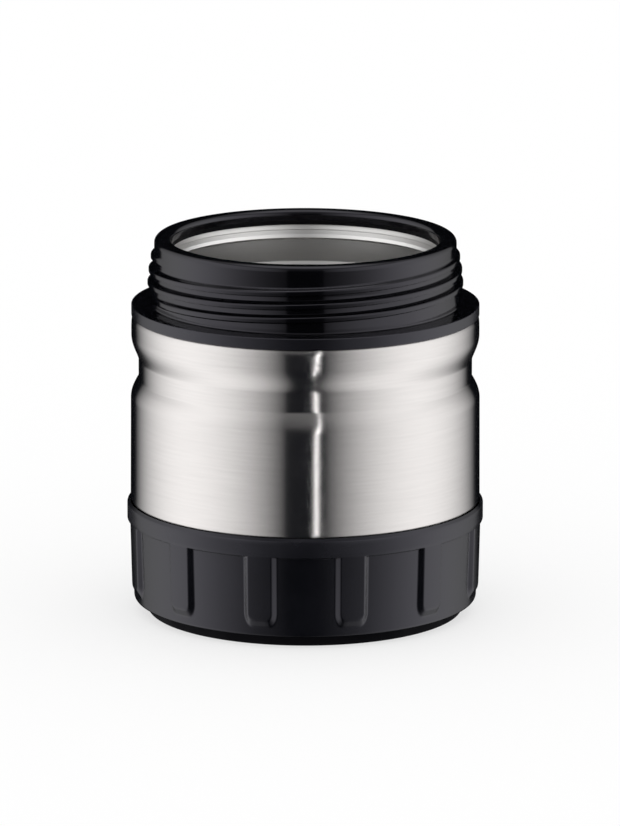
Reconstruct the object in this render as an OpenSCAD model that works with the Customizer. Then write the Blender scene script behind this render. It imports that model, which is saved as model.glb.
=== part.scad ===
// Double-wall vacuum food jar: steel body, screw collar and ribbed base cup.
// Millimetres. The origin is on the floor under the jar's axis, and +Z is up.

/* [Steel body] */
// Outer diameter of the steel body
body_d = 100; // [96:1:112]
// Height of the steel body, from its lower rim to its shoulder
body_h = 80; // [70:1:110]
// Wall of the outer shell
shell_t = 0.5; // [0.4:0.1:0.6]
// Set-in of the foot that the base cup grips, each side
step_in = 2.8; // [2.4:0.1:3]
// Height of the set-in foot, below its slope
step_h = 22.2; // [18:0.2:30]
// Height of the slope between the set-in foot and the full body
step_run = 3; // [2.9:0.1:4]
// Radius of the corner between wall and shoulder
shoulder_round = 1.6; // [1:0.1:2.4]

/* [Waist groove] */
// Depth of the groove, each side
waist_in = 2.3; // [1.2:0.1:3]
// Height of the groove's flat bottom
waist_h = 5.6; // [3:0.2:10]
// Distance from the shoulder down to the flat bottom
waist_drop = 12.4; // [10:0.2:16]
// Height of the slope above the flat bottom
waist_run_top = 5.3; // [3:0.1:6]
// Height of the slope below the flat bottom
waist_run_low = 4.7; // [3:0.1:8]

/* [Steel neck and liner] */
// Clear diameter of the mouth
mouth_d = 76.6; // [68:0.2:80]
// Width of the steel lip, each side
lip_w = 3.2; // [2.8:0.1:3.8]
// Height of the steel neck, from the shoulder to the lip
neck_h = 18.5; // [16:0.5:24]
// Wall of the liner
liner_t = 0.4; // [0.3:0.1:0.5]
// Height of the straight lip inside the mouth
lip_h = 3.2; // [2:0.2:5]
// Undercut of the throat below the lip, each side
undercut = 1.5; // [1:0.1:1.6]
// Height of the slope between lip and throat
undercut_run = 2.5; // [2:0.1:4]
// Height of the slope between throat and food space
throat_run = 8; // [6:0.5:12]
// Narrowest vacuum space, at the waist
vacuum_gap = 2.8; // [2:0.1:4]
// Vacuum space under the liner
under_gap = 4.6; // [4:0.2:7]
// Height of the liner's welded bottom dish
dish_h = 8; // [7:0.5:12]
// Corner radius inside the dish
dish_round = 4; // [3:0.5:6]

/* [Shell bottom and getter] */
// Thickness of the damper pad under the shell bottom
pad_t = 2.5; // [2:0.1:4]
// Wall of the shell bottom
bottom_t = 0.5; // [0.4:0.1:0.8]
// Diameter of the dimple in the shell bottom
dimple_d = 18; // [14:1:24]
// Rise of the dimple
dimple_h = 2.2; // [1.6:0.1:3]
// Diameter of the evacuation hole in the dimple
vent_d = 2; // [1.6:0.2:3]
// Diameter of the sealing bead
bead_d = 7; // [5:0.5:9]
// Height of the sealing bead
bead_h = 1.4; // [1:0.1:1.5]
// Diameter of the getter pill
getter_d = 8; // [6:0.5:10]
// Height of the getter pill
getter_h = 2; // [1.4:0.1:2.4]
// Distance of the getter from the jar's axis
getter_off = 26; // [20:1:32]

/* [Screw collar] */
// Set-in of the collar's flange from the steel body, each side
flange_in = 0.4; // [0.2:0.1:1]
// Height of the flange's edge
flange_h = 3.2; // [2.8:0.1:5]
// Rise of the flange's top towards the neck
flange_rise = 0.5; // [0.3:0.1:1]
// Wall of the collar at its top land
collar_wall = 1.35; // [1.2:0.05:2]
// Growth of the neck's radius from top land to foot
neck_taper = 1.25; // [0.6:0.05:1.6]
// Height of the plain top land
land_top_h = 7.2; // [5:0.2:9]
// Height of the land round the mouth
land_h = 3; // [2.4:0.2:5]
// Radius of the rim's outer corner
rim_round = 0.9; // [0.5:0.1:1.2]
// Radius of the fillet between neck and flange
neck_fillet = 0.9; // [0.5:0.1:1.4]
// Height of the snap bead on the steel neck above the shoulder
snap_z = 9; // [6:0.5:10]
// Height of the snap bead itself
snap_h = 2.4; // [1.8:0.1:3]
// How far the snap bead stands out
snap_out = 0.4; // [0.3:0.05:0.5]

/* [Seals] */
// Thickness of the collar gasket
gasket_t = 1.2; // [0.8:0.1:2]
// Thickness of the shoulder seal
shoulder_seal_t = 1.3; // [1:0.1:1.8]
// Width of the shoulder seal, which lies round the steel neck
shoulder_seal_w = 1.4; // [1:0.1:1.6]
// Height of the gap that the shoulder seal keeps open
shoulder_gap = 0.3; // [0.2:0.05:0.6]

/* [Base cup] */
// How far the top band stands out from the steel body
band_out = 1.1; // [0.9:0.1:2]
// Height of the top band
band_h = 5.9; // [5:0.1:9]
// Height of the slanted lip above the band
lip_slant = 0.8; // [0.5:0.1:1]
// How far the lip covers the body above its step
lip_cover = 1.2; // [1:0.1:2]
// Wall of the cup just below the band
cup_wall = 1.95; // [1.6:0.05:2.4]
// Inward taper of the wall, down to its lower edge
cup_taper = 0.5; // [0.2:0.1:0.8]
// Thickness of the cup's floor
cup_floor_t = 2.6; // [1.8:0.1:3.4]
// Radius of the lower edge
edge_round = 0.6; // [0.4:0.1:1.6]
// Number of ribs
rib_n = 12; // [8:1:16]
// Width of a rib at its crest
rib_w = 7.4; // [5:0.2:10]
// Inward taper of a rib's crest, from the band down to its foot
rib_taper = 0.8; // [0.4:0.1:1]
// Height of the plain wall below the ribs
rib_foot_h = 3.7; // [2.4:0.1:5]
// Radius of a rib's lower corners
rib_round = 2.4; // [1.6:0.1:3]
// Thickness of the band's floor under the base seal
pocket_floor_t = 0.8; // [0.6:0.1:1.2]

/* [Foot ring] */
// Height of the ring below the cup
foot_h = 3.4; // [3:0.1:6]
// Width of the ring
foot_w = 7; // [5:0.5:10]
// Set-in of the ring from the cup's wall
foot_in = 4; // [3:0.1:6]
// Height of the tongue that holds the ring in the cup's floor
tongue_h = 1; // [0.6:0.1:1.2]
// Width of the tongue
tongue_w = 3; // [2:0.1:4]

/* [Hidden] */

$fn = 96;
fit = 0.2;          // clearance between round faces that fit together
curve_steps = 8;    // straight pieces in a slope
corner_steps = 5;   // straight pieces in a rounded corner
overlap = 0.5;      // how far joined shapes of one piece run into each other
rib_side = 0.6;     // widening of a rib towards its root, per unit of depth
foil_t = 0.2;       // wall of the reflector foil
foil_edge = 2;      // distance of the foil's edges from the ends of the straight liner
clip_t = 0.3;       // sheet of the getter clip
clip_grip = 1.2;    // height of the clip's wall round the pill
clip_ear = 3;       // length of each ear of the getter clip
clip_ear_w = 4;     // width of each ear of the getter clip
bead_edge = 0.3;    // height of the seal bead's straight edge
small_round = 0.4;  // radius of small edge breaks

// radii of the steel body
body_r = body_d / 2;
step_r = body_r - step_in;
waist_r = body_r - waist_in;
mouth_r = mouth_d / 2;
neck_r = mouth_r + lip_w;
snap_r = neck_r + snap_out;

// radii of the liner
throat_r = mouth_r + undercut;
liner_r = waist_r - shell_t - vacuum_gap - liner_t;
foil_r = liner_r + liner_t + fit;

// radii of the collar
bore_r = neck_r + fit;
land_r = bore_r + collar_wall;
neck_foot_r = land_r + neck_taper;
flange_r = body_r - flange_in;
neck_foot_round = max(small_round / 2, min(neck_fillet, flange_r - small_round - neck_foot_r));
seal_r = bore_r + shoulder_seal_w;

// radii of the base cup and its ring
cup_bore_r = step_r + fit;
lip_bore_r = body_r + fit;
band_r = body_r + band_out;
wall_r = cup_bore_r + cup_wall;
edge_r = wall_r - cup_taper;
foot_r = edge_r - foot_in;
tongue_r = foot_r - (foot_w - tongue_w) / 2;

// radii of the shell bottom
cap_r = step_r - shell_t - fit;
dimple_r = dimple_d / 2;

// levels, from the floor up
z_cup = foot_h;
z_floor = z_cup + cup_floor_t;
z_web = z_floor + pad_t;
z_web_top = z_web + bottom_t;
z_liner_floor = z_web_top + under_gap + liner_t;
z_dish_top = z_liner_floor + dish_h;
z_step = z_floor + step_h;
z_full = z_step + step_run;
z_lip_top = z_full + lip_cover;
z_band_top = z_lip_top - lip_slant;
z_band = z_band_top - band_h;
z_rib = z_cup + rib_foot_h;
z_pocket = z_band + pocket_floor_t;
z_shoulder = z_floor + body_h;
z_waist_top = z_shoulder - waist_drop;
z_waist = z_waist_top - waist_h;
z_throat = z_shoulder - shoulder_round;
z_wide = z_throat - throat_run;
z_lip = z_shoulder + neck_h;
z_land = z_lip + gasket_t;
z_rim = z_land + land_h;
z_flange = z_shoulder + shoulder_gap;
z_flange_top = z_flange + flange_h;
z_neck_foot = z_flange_top + flange_rise;
z_snap = z_shoulder + snap_z;

// Eases from 0 to 1 with a level start and end
function ease(t) = (1 - cos(180 * t)) / 2;

// Points of an S-shaped slope from one radius and level to the next
function slope(r0, z0, r1, z1) =
  [for (i = [0 : curve_steps]) [r0 + (r1 - r0) * ease(i / curve_steps), z0 + (z1 - z0) * i / curve_steps]];

// Points of a round corner about a centre, from one angle to another
function corner(r, z, size, from, to) =
  [for (i = [0 : corner_steps])
    let (a = from + (to - from) * i / corner_steps)
    [r + size * cos(a), z + size * sin(a)]];

// The points without the first one
function rest(points) = [for (i = [1 : len(points) - 1]) points[i]];

// The same points, listed the other way round
function reversed(points) = [for (i = [len(points) - 1 : -1 : 0]) points[i]];

// The same points, moved square to their path: to the left of a path that runs upwards
function shifted(points, by) =
  [for (i = [0 : len(points) - 1])
    let (step = points[min(i + 1, len(points) - 1)] - points[max(i - 1, 0)])
    points[i] + by / norm(step) * [-step[1], step[0]]];

module revolve(points) {
  rotate_extrude() polygon(points);
}

module tube(r_out, r_in, height) {
  difference() {
    cylinder(h = height, r = r_out);
    translate([0, 0, -overlap]) cylinder(h = height + 2 * overlap, r = r_in);
  }
}

// Outside of the steel body, from its lower rim to its shoulder
function body_side() = concat(
  [[step_r, z_floor]],
  slope(step_r, z_step, body_r, z_full),
  slope(body_r, z_waist - waist_run_low, waist_r, z_waist),
  slope(waist_r, z_waist_top, body_r, z_waist_top + waist_run_top),
  corner(body_r - shoulder_round, z_shoulder - shoulder_round, shoulder_round, 0, 90)
);

// Side of the steel neck, with the bead that the collar snaps over, moved outwards
function neck_side(out) = concat(
  slope(neck_r + out, z_snap - snap_h / 2, snap_r + out, z_snap),
  rest(slope(snap_r + out, z_snap, neck_r + out, z_snap + snap_h / 2))
);

module outer_shell() {
  top = z_lip - liner_t;
  lip_hole_r = mouth_r + liner_t + fit;
  outside = concat(body_side(), [[neck_r, z_shoulder]], neck_side(0), [[neck_r, top]]);
  inside = concat(
    shifted(body_side(), shell_t),
    [[neck_r - shell_t, z_shoulder - shell_t]],
    neck_side(-shell_t),
    [[neck_r - shell_t, top - shell_t], [lip_hole_r, top - shell_t], [lip_hole_r, top]]
  );
  color("silver") revolve(concat(outside, reversed(inside)));
}

// Inside of the liner, from its welded foot to the underside of its lip
function liner_side() = concat(
  [[liner_r, z_dish_top]],
  slope(liner_r, z_wide, throat_r, z_throat),
  slope(throat_r, z_lip - lip_h - undercut_run, mouth_r, z_lip - lip_h),
  [[mouth_r, z_lip - liner_t]]
);

module inner_liner() {
  lip_round = liner_t / 2;
  inside = concat(liner_side(), corner(mouth_r + lip_round, z_lip - lip_round, lip_round, 180, 90));
  outside = concat(
    shifted(liner_side(), -liner_t),
    [[neck_r, z_lip - liner_t], [neck_r, z_lip]]
  );
  color("gainsboro") revolve(concat(outside, reversed(inside)));
}

module liner_bottom() {
  outside = concat(
    [[0, z_liner_floor - liner_t]],
    corner(liner_r - dish_round, z_liner_floor + dish_round, dish_round + liner_t, -90, 0),
    [[liner_r + liner_t, z_dish_top]]
  );
  inside = concat(
    [[0, z_liner_floor]],
    corner(liner_r - dish_round, z_liner_floor + dish_round, dish_round, -90, 0),
    [[liner_r, z_dish_top]]
  );
  color("gainsboro") revolve(concat(outside, reversed(inside)));
}

module reflector_foil() {
  low = z_dish_top + foil_edge;
  color("gainsboro") translate([0, 0, low]) tube(foil_r + foil_t, foil_r, z_wide - foil_edge - low);
}

module shell_bottom() {
  dimple_top = z_web + dimple_h;
  color("darkgray") difference() {
    revolve([
      [0, dimple_top], [dimple_r, dimple_top], [dimple_r + dimple_h / 2, z_web],
      [cap_r - bottom_t, z_web], [cap_r - bottom_t, z_floor], [cap_r, z_floor],
      [cap_r, z_web_top], [dimple_r + dimple_h / 2 + bottom_t / 2, z_web_top],
      [dimple_r + bottom_t / 2, dimple_top + bottom_t], [0, dimple_top + bottom_t]
    ]);
    translate([0, 0, dimple_top - overlap]) cylinder(h = bottom_t + 2 * overlap, d = vent_d);
  }
}

module seal_bead() {
  top = z_web + dimple_h;
  color("slategray") revolve(concat(
    [[0, top], [bead_d / 2, top], [bead_d / 2, top - bead_edge]],
    [for (i = [1 : corner_steps - 1])
      let (a = 90 * i / corner_steps)
      [bead_d / 2 * cos(a), top - bead_edge - (bead_h - bead_edge) * sin(a)]],
    [[0, top - bead_h]]
  ));
}

module getter() {
  color("dimgray") translate([getter_off, 0, z_web_top + clip_t]) cylinder(h = getter_h, d = getter_d);
}

module getter_clip() {
  cup_r = getter_d / 2 + fit + clip_t;
  reach = cup_r + clip_ear;
  color("silver") translate([getter_off, 0, z_web_top]) {
    difference() {
      union() {
        cylinder(h = clip_t + clip_grip, r = cup_r);
        translate([-clip_ear_w / 2, -reach, 0]) cube([clip_ear_w, 2 * reach, clip_t]);
      }
      translate([0, 0, clip_t]) cylinder(h = getter_h, r = getter_d / 2 + fit);
    }
  }
}

module damper_pad() {
  pad_r = cap_r - bottom_t - fit;
  hole_r = dimple_r + dimple_h / 2 + fit;
  color("dimgray") translate([0, 0, z_floor]) tube(pad_r, hole_r, pad_t);
}

// Ring that fills the pocket under the slope of the steel body
module base_seal() {
  rim_r = lip_bore_r - fit / 2;
  color("dimgray") revolve(concat(
    [[rim_r, z_pocket], [step_r + fit, z_pocket]],
    slope(step_r + fit, z_step - fit, body_r, z_full - fit),
    [[rim_r, z_full - fit]]
  ));
}

module neck_collar() {
  seal_top = z_shoulder + shoulder_seal_t;
  outside = concat(
    [[flange_r - small_round, z_flange], [flange_r, z_flange + small_round]],
    corner(flange_r - small_round, z_flange_top - small_round, small_round, 0, 90),
    reversed(corner(
      neck_foot_r + neck_foot_round, z_neck_foot + neck_foot_round, neck_foot_round, 180, 270
    )),
    [[land_r, z_rim - land_top_h]],
    corner(land_r - rim_round, z_rim - rim_round, rim_round, 0, 90),
    corner(mouth_r + small_round, z_rim - small_round, small_round, 90, 180)
  );
  inside = concat(
    [[mouth_r, z_land], [bore_r, z_land]],
    reversed(neck_side(fit)),
    [[bore_r, seal_top], [seal_r + fit, seal_top], [seal_r + fit, z_flange]]
  );
  color([0.06, 0.06, 0.07]) revolve(concat(outside, inside));
}

module collar_gasket() {
  color("darkslategray") translate([0, 0, z_lip]) tube(neck_r, mouth_r, gasket_t);
}

module shoulder_seal() {
  color("dimgray") translate([0, 0, z_shoulder]) tube(seal_r, bore_r, shoulder_seal_t);
}

// Plain wall, floor and top band of the base cup
module cup_shell() {
  revolve(concat(
    [[0, z_cup]],
    corner(edge_r - edge_round, z_cup + edge_round, edge_round, -90, 0),
    [[wall_r, z_band], [band_r, z_band]],
    [[band_r, z_band_top], [lip_bore_r + small_round / 2, z_lip_top]],
    [[lip_bore_r, z_lip_top], [lip_bore_r, z_pocket], [cup_bore_r, z_pocket]],
    [[cup_bore_r, z_floor], [0, z_floor]]
  ));
}

// Solid in which all ribs lie: its outside is the crest of the ribs
module rib_envelope() {
  root_r = cup_bore_r + cup_wall / 2;
  revolve([
    [root_r, z_rib], [band_r - rib_taper, z_rib], [band_r, z_band],
    [band_r - overlap, z_band + overlap], [root_r, z_band + overlap]
  ]);
}

// Block with a rib's slanted sides, pointing along +X
module rib_block() {
  root_half = rib_w / 2 + (band_r - cup_bore_r) * rib_side;
  tip_half = rib_w / 2 - band_out * rib_side;
  tip_r = band_r + band_out;
  translate([0, 0, z_rib]) linear_extrude(z_band + overlap - z_rib)
    polygon([[cup_bore_r, -root_half], [tip_r, -tip_half], [tip_r, tip_half], [cup_bore_r, root_half]]);
}

// Block with a rib's rounded lower corners, pointing along +X
module rib_outline() {
  half = rib_w / 2 + (band_r - edge_r) * rib_side;
  top = z_band + overlap;
  rotate([90, 0, 90]) translate([0, 0, cup_bore_r]) linear_extrude(band_r)
    polygon(concat(
      corner(rib_round - half, z_rib + rib_round, rib_round, 180, 270),
      corner(half - rib_round, z_rib + rib_round, rib_round, 270, 360),
      [[half, top], [-half, top]]
    ));
}

module base_cup() {
  color([0.13, 0.13, 0.14]) difference() {
    union() {
      cup_shell();
      intersection() {
        rib_envelope();
        for (i = [0 : rib_n - 1]) {
          rotate((i + 0.5) * 360 / rib_n) intersection() {
            rib_block();
            rib_outline();
          }
        }
      }
    }
    translate([0, 0, z_cup - overlap])
      tube(tongue_r + fit, tongue_r - tongue_w - fit, tongue_h + overlap);
  }
}

module foot_ring() {
  color([0.09, 0.09, 0.1]) revolve(concat(
    [[foot_r - small_round, 0], [foot_r, small_round], [foot_r, z_cup]],
    [[tongue_r, z_cup], [tongue_r, z_cup + tongue_h], [tongue_r - tongue_w, z_cup + tongue_h]],
    [[tongue_r - tongue_w, z_cup], [foot_r - foot_w, z_cup]],
    [[foot_r - foot_w, small_round], [foot_r - foot_w + small_round, 0]]
  ));
}

neck_collar();
collar_gasket();
shoulder_seal();
outer_shell();
inner_liner();
liner_bottom();
reflector_foil();
shell_bottom();
seal_bead();
getter();
getter_clip();
damper_pad();
base_seal();
base_cup();
foot_ring();
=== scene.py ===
"""Open double-wall food jar: the visual model round the packed CAD frame, laid out as a Blender add-on."""
import math

import bmesh
import bpy
from bpy.props import FloatProperty, FloatVectorProperty, IntProperty, PointerProperty
from bpy.types import Operator, Panel, PropertyGroup
from mathutils import Euler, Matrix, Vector


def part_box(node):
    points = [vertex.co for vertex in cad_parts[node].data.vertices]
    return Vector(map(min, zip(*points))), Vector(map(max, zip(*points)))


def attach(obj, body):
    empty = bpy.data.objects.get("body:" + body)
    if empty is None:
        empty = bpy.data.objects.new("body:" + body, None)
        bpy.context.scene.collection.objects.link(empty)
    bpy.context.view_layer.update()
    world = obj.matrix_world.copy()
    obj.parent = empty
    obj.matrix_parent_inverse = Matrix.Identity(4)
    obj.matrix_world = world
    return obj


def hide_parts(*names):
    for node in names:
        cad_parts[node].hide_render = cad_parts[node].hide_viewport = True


bl_info = {
    "name": "Open food jar",
    "version": (1, 0, 0),
    "blender": (4, 5, 0),
    "location": "3D View > Sidebar > Food Jar",
    "description": "Builds the pieces, finishes and studio of an open insulated food jar",
    "category": "Object",
}

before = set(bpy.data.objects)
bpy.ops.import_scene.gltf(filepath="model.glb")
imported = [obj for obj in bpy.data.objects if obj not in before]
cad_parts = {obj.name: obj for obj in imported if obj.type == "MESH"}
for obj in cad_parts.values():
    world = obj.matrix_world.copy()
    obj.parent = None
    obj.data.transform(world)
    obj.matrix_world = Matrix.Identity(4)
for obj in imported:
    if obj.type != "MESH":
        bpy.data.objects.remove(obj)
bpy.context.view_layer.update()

MM = 0.001
BODY = "root"
TURN = 2 * math.pi
SEGMENTS = 384
TINY = 1e-7  # points closer than this are one point
SHARP_FROM = math.radians(40)  # edges that turn more than this are shaded as edges
WHITE = (1.0, 1.0, 1.0)
STUDIO_MIDDLE = 0.055  # height of the middle of the domes and the strip

SHELL_LOW, SHELL_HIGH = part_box("outer_shell")
COLLAR_LOW, COLLAR_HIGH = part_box("neck_collar")
LINER_LOW, LINER_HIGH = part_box("inner_liner")
DISH_LOW, DISH_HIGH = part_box("liner_bottom")
CUP_LOW, CUP_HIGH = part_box("base_cup")
FOOT_LOW, FOOT_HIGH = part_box("foot_ring")


def length(name, description, millimetres):
    """A length property, given in millimetres and kept in metres."""
    return FloatProperty(
        name=name, description=description, default=millimetres * MM, unit="LENGTH", precision=5
    )


def colour(name, description, value):
    """A colour property."""
    return FloatVectorProperty(
        name=name, description=description, default=value, size=3, subtype="COLOR", min=0, max=1
    )


def amount(name, description, value):
    """A plain number that is never negative."""
    return FloatProperty(name=name, description=description, default=value, min=0)


def angle(name, description, degrees):
    """An angle property, given in degrees and kept in radians."""
    return FloatProperty(name=name, description=description, default=math.radians(degrees), subtype="ANGLE")


class JarBodySizes(PropertyGroup):
    """Sizes of the steel body and the liner."""

    radius: length("Body radius", "Radius of the steel body", SHELL_HIGH.x / MM)
    foot_spread: length("Foot spread", "How much wider the plain wall is at its foot", 0.12)
    top_draw: length("Top draw", "How much narrower the plain wall is at its shoulder", 0.25)
    step_radius: length("Foot radius", "Radius of the steel foot in the base cup", 47.2)
    waist_radius: length("Waist radius", "Radius at the bottom of the waist groove", 47.7)
    neck_radius: length("Neck radius", "Radius of the steel neck under the collar", 41.5)
    mouth_radius: length("Mouth radius", "Radius of the steel lip", 38.3)
    lip_flare: length("Lip flare", "How much the lip opens towards its top", 1.0)
    throat_radius: length("Throat radius", "Radius just below the lip", 39.8)
    store_radius: length("Food space radius", "Inner radius of the food space", 44.0)
    shell_wall: length("Shell wall", "Wall of the outer shell", 0.5)
    liner_wall: length("Liner wall", "Wall of the liner", 0.4)
    waist_level: length("Waist level", "Lower end of the groove's flat bottom", 68.0)
    waist_height: length("Waist height", "Height of the groove's flat bottom", 5.6)
    shoulder_level: length("Shoulder level", "Height of the steel shoulder", 86.0)


class JarCollarSizes(PropertyGroup):
    """Sizes of the screw collar."""

    land_radius: length("Land radius", "Radius of the plain top land", 43.12)
    foot_radius: length("Neck foot radius", "Radius of the neck just above the flange", 44.3)
    thread_lead: length("Thread lead", "Rise of one thread start in one turn", 7.5)
    thread_level: length("Thread level", "Height of a crest on the front side", 97.7)
    thread_low: length("Thread low end", "Height at which the threads run out below", 92.3)
    thread_high: length("Thread high end", "Height at which the threads run out above", 103.8)
    rim_round: length("Rim rounding", "Radius of the rim's outer corner", 1.6)
    mouth_round: length("Mouth rounding", "Radius of the rim's inner corner", 1.6)


class JarCupSizes(PropertyGroup):
    """Sizes of the base cup and its foot ring."""

    rib_count: IntProperty(name="Ribs", description="Number of ribs round the cup", default=12, min=3)
    rib_width: length("Rib width", "Width of a rib at its crest", 7.0)
    rib_side: length("Rib side", "Width of a rib's slanted side", 1.4)
    rib_run: length("Rib run-out", "Height of the slope at a rib's lower end", 2.3)
    rib_level: length("Rib foot", "Height of the lower end of a rib", 6.1)
    rib_corner: length("Rib corner", "Radius of a rib's lower corners", 1.2)
    rib_draw: length("Rib draw", "How much further in a crest lies at its lower end", 0.5)
    rib_turn: angle("Rib turn", "Turn of the ribs about the jar's axis", 0.33)
    band_level: length("Band level", "Lower edge of the top band", 26.9)
    band_radius: length("Band radius", "Radius of the top band", 51.1)
    wall_radius: length("Wall radius", "Radius of the wall under the band", 49.95)
    edge_radius: length("Edge radius", "Radius of the wall at its lower edge", 49.2)


class JarFinish(PropertyGroup):
    """Colours of the finishes."""

    steel: colour("Brushed steel", "Reflectance of the outer steel", (0.635, 0.612, 0.6))
    liner: colour("Liner steel", "Reflectance of the inner steel", (0.7, 0.692, 0.68))
    gloss: colour("Gloss black", "Body colour of the collar", (0.0021, 0.0021, 0.0028))
    satin: colour("Satin black", "Body colour of the base cup", (0.0046, 0.0049, 0.0068))
    edge: colour("Dull black", "Body colour of the flange's face and the band", (0.0088, 0.0091, 0.0118))
    rubber: colour("Rubber", "Body colour of the foot ring", (0.0035, 0.0035, 0.0045))


class JarStudio(PropertyGroup):
    """The studio round the jar."""

    softbox: amount("Softboxes", "Brightness at the middle of a softbox", 1.42)
    overhead: amount("Overhead", "Brightness of the light above", 1.2)
    haze: amount("Haze", "Brightness of the room above the horizon in front", 0.12)
    air: colour("Air", "Faint light from everywhere else", (0.008, 0.009, 0.0115))
    strip: amount("Strip", "Brightness of the thin strip in front", 3.3)
    floor: colour("Floor", "Colour of the floor", (0.35, 0.35, 0.35))
    lens: amount("Lens", "Focal length in millimetres, for a frame 36 mm tall", 302.5)
    distance: length("Camera distance", "Distance from the jar's middle", 1990)
    elevation: angle("Camera elevation", "Angle of the camera above the horizon", 12.98)
    roll: angle("Camera roll", "Turn of the camera about the line it looks along", 0.07)


# ---- outlines


def held(t):
    """t held between 0 and 1."""
    return min(max(t, 0.0), 1.0)


def ease(t):
    """0 to 1 with a level start and end, held outside."""
    t = held(t)
    return t * t * (3 - 2 * t)


def mix(a, b, t):
    """The value at t on the way from a, at 0, to b, at 1."""
    return a + (b - a) * t


def wave(r0, z0, r1, z1, steps=24):
    """S-shaped run of an outline from one point to another."""
    return [
        (mix(r0, r1, (1 - math.cos(math.pi * i / steps)) / 2), mix(z0, z1, i / steps))
        for i in range(steps + 1)
    ]


def arc(r, z, size, start, end, steps=8):
    """Round corner of an outline about a centre, angles in degrees."""
    out = []
    for i in range(steps + 1):
        a = math.radians(mix(start, end, i / steps))
        out.append((r + size * math.cos(a), z + size * math.sin(a)))
    return out


def filled(points, step=1.6 * MM, guard=0.08 * MM):
    """The outline with long straight runs divided, and short runs at both ends that hold the shading."""
    out = [points[0]]
    for (r0, z0), (r1, z1) in zip(points, points[1:]):
        run = math.hypot(r1 - r0, z1 - z0)
        if run < TINY:
            continue
        marks = []
        if run > 4 * guard:
            inner = run - 2 * guard
            count = max(1, math.ceil(inner / step))
            marks = [guard + inner * i / count for i in range(count + 1)]
        for m in marks:
            out.append((mix(r0, r1, m / run), mix(z0, z1, m / run)))
        out.append((r1, z1))
    return out


def offset(points, by):
    """The outline moved square to its path, to the left of a path that runs upwards."""
    out = []
    last = len(points) - 1
    for i, (r, z) in enumerate(points):
        r0, z0 = points[max(i - 1, 0)]
        r1, z1 = points[min(i + 1, last)]
        run = math.hypot(r1 - r0, z1 - z0)
        out.append((r - by * (z1 - z0) / run, z + by * (r1 - r0) / run))
    return out


# ---- meshes


def make_piece(name, points, faces, materials, stands_for, face_materials=None):
    """A smooth mesh piece that rides on the jar's body and stands for CAD nodes."""
    mesh = bpy.data.meshes.new(name)
    mesh.from_pydata(points, [], faces)
    for material in materials:
        mesh.materials.append(material)
    if face_materials:
        mesh.polygons.foreach_set("material_index", face_materials)
    work = bmesh.new()
    work.from_mesh(mesh)
    bmesh.ops.remove_doubles(work, verts=work.verts, dist=TINY)
    bmesh.ops.recalc_face_normals(work, faces=work.faces)
    if work.calc_volume(signed=True) < 0:
        bmesh.ops.reverse_faces(work, faces=work.faces)
    work.to_mesh(mesh)
    work.free()
    mesh.shade_smooth()
    mesh.set_sharp_from_angle(angle=SHARP_FROM)
    piece = bpy.data.objects.new(name, mesh)
    bpy.context.scene.collection.objects.link(piece)
    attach(piece, BODY)
    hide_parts(*stands_for)
    return piece


def turned(name, outline, material, stands_for):
    """Piece of one material, turned from a closed outline."""
    count = len(outline)
    on_axis = [r < TINY for r, _ in outline]
    points, faces = [], []
    for k in range(SEGMENTS):
        a = TURN * k / SEGMENTS
        c, s = math.cos(a), math.sin(a)
        points += [(r * c, r * s, z) for r, z in outline]
    for k in range(SEGMENTS):
        here, there = k * count, (k + 1) % SEGMENTS * count
        for i in range(count):
            j = (i + 1) % count
            if on_axis[i] and on_axis[j]:
                continue
            if on_axis[i]:
                faces.append([here + i, there + j, here + j])
            elif on_axis[j]:
                faces.append([here + i, there + i, here + j])
            else:
                faces.append([here + i, there + i, there + j, here + j])
    return make_piece(name, points, faces, [material], stands_for)


# ---- shader parts


def put(tree, kind, inputs=None, **settings):
    """Adds a node. A socket among the inputs is linked, anything else is set."""
    node = tree.nodes.new(kind)
    for key, value in settings.items():
        setattr(node, key, value)
    for key, value in (inputs or {}).items():
        if isinstance(value, bpy.types.NodeSocket):
            tree.links.new(value, node.inputs[key])
        else:
            node.inputs[key].default_value = value
    return node


def calc(tree, operation, *values):
    """Result of a Math node."""
    return put(tree, "ShaderNodeMath", dict(enumerate(values)), operation=operation).outputs[0]


def times(tree, first, *others):
    """Product of sockets and numbers."""
    for other in others:
        first = calc(tree, "MULTIPLY", first, other)
    return first


def ramp(tree, value, low, high, to_low=0.0, to_high=1.0, smooth=True):
    """Result of a Map Range node, held at its ends."""
    node = put(
        tree, "ShaderNodeMapRange",
        {"Value": value, "From Min": low, "From Max": high, "To Min": to_low, "To Max": to_high},
        interpolation_type="SMOOTHSTEP" if smooth else "LINEAR",
    )
    return node.outputs["Result"]


def blend(tree, factor, a, b):
    """Mix of two colours. The numbers are the sockets that a Mix node uses for colours."""
    return put(tree, "ShaderNodeMix", {0: factor, 6: a, 7: b}, data_type="RGBA").outputs[2]


def new_group(name, inputs, outputs):
    """Empty shader node group with float inputs and outputs."""
    group = bpy.data.node_groups.new(name, "ShaderNodeTree")
    for key, value in inputs.items():
        socket = group.interface.new_socket(key, in_out="INPUT", socket_type="NodeSocketFloat")
        socket.default_value = value
    for key in outputs:
        group.interface.new_socket(key, in_out="OUTPUT", socket_type="NodeSocketFloat")
    return group, put(group, "NodeGroupInput"), put(group, "NodeGroupOutput")


def give_out(group, out, results):
    """Links a group's results to its outputs."""
    for key, value in results.items():
        group.links.new(value, out.inputs[key])


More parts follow.
